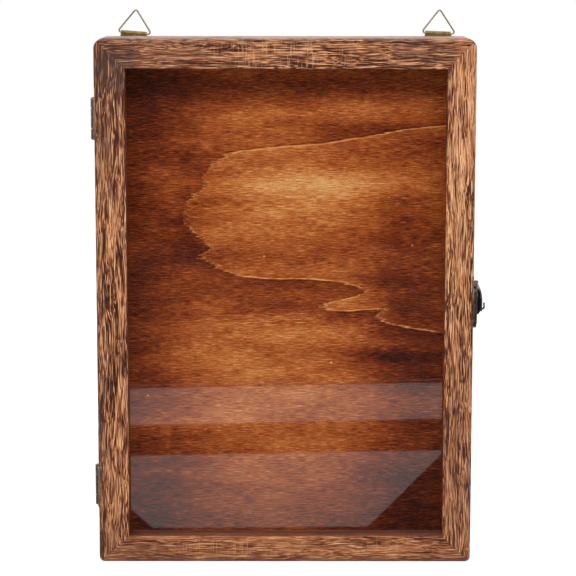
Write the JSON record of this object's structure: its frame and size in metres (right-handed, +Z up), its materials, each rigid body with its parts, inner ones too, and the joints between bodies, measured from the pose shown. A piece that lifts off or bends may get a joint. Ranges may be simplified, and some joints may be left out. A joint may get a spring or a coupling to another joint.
{
  "type": "specimen display box",
  "caption": "Shallow wall-hung wooden display case with a hinged glazed door, a side box latch, and strap hangers with triangle rings.",
  "frame": {"origin": "middle of the box's footprint, on the surface that it stands on", "axes": "+Z up, the door faces -Y and its hinges are on the -X side, the latch on the +X side"},
  "size_m": [0.2383, 0.0483, 0.336],
  "materials": {
    "case_wood": "scorched, brushed and waxed",
    "door_wood": "scorched, brushed and waxed",
    "bead_wood": "stained",
    "back_plywood": "stained, satin",
    "glass": "clear",
    "hinge_metal": "antiqued bronze",
    "latch_metal": "antiqued bronze",
    "hanger_metal": "antiqued bronze",
    "screw_steel": "antiqued",
    "pin_steel": "dull"
  },
  "bodies": {
    "case": {"case_top_board": "case_wood", "case_bottom_board": "case_wood", "case_left_board": "case_wood", "case_right_board": "case_wood", "case_corner_brads": "pin_steel", "back_panel": "back_plywood", "back_panel_pins": "pin_steel", "upper_hinge_case_leaf": "hinge_metal", "lower_hinge_case_leaf": "hinge_metal", "upper_hinge_pin": "hinge_metal", "lower_hinge_pin": "hinge_metal", "hinge_case_screws": "screw_steel", "latch_plate": "latch_metal", "latch_pivot_pin": "latch_metal", "latch_plate_nails": "latch_metal", "left_hanger_strap": "hanger_metal", "right_hanger_strap": "hanger_metal", "hanger_screws": "screw_steel"},
    "door": {"door_top_rail": "door_wood", "door_bottom_rail": "door_wood", "door_left_stile": "door_wood", "door_right_stile": "door_wood", "door_corner_brads": "pin_steel", "glass_pane": "glass", "glazing_bead_top": "bead_wood", "glazing_bead_bottom": "bead_wood", "glazing_bead_left": "bead_wood", "glazing_bead_right": "bead_wood", "glazing_pins": "pin_steel", "upper_hinge_door_leaf": "hinge_metal", "lower_hinge_door_leaf": "hinge_metal", "hinge_door_screws": "screw_steel", "latch_catch": "latch_metal", "latch_catch_nails": "latch_metal"},
    "latch_flap": {"latch_flap": "latch_metal"},
    "left_ring": {"left_hanger_ring": "hanger_metal"},
    "right_ring": {"right_hanger_ring": "hanger_metal"}
  },
  "joints": [
    {"name": "door_hinge", "type": "hinge", "parent": "case", "child": "door", "pos_m": [-0.1157, -0.0075, 0.16], "axis": [0, 0, -1], "range_deg": [0, 180]},
    {"name": "latch_flap_hinge", "type": "hinge", "parent": "case", "child": "latch_flap", "pos_m": [0.1179, 0.007, 0.161], "axis": [0, 0, 1], "range_deg": [0, 150]},
    {"name": "left_ring_swing", "type": "hinge", "parent": "case", "child": "left_ring", "pos_m": [-0.0927, 0.02415, 0.3216], "axis": [0.9969, 0, -0.0785], "range_deg": [-165, 90]},
    {"name": "right_ring_swing", "type": "hinge", "parent": "case", "child": "right_ring", "pos_m": [0.0939, 0.02415, 0.3216], "axis": [0.9993, 0, -0.0384], "range_deg": [-165, 90]}
  ]
}
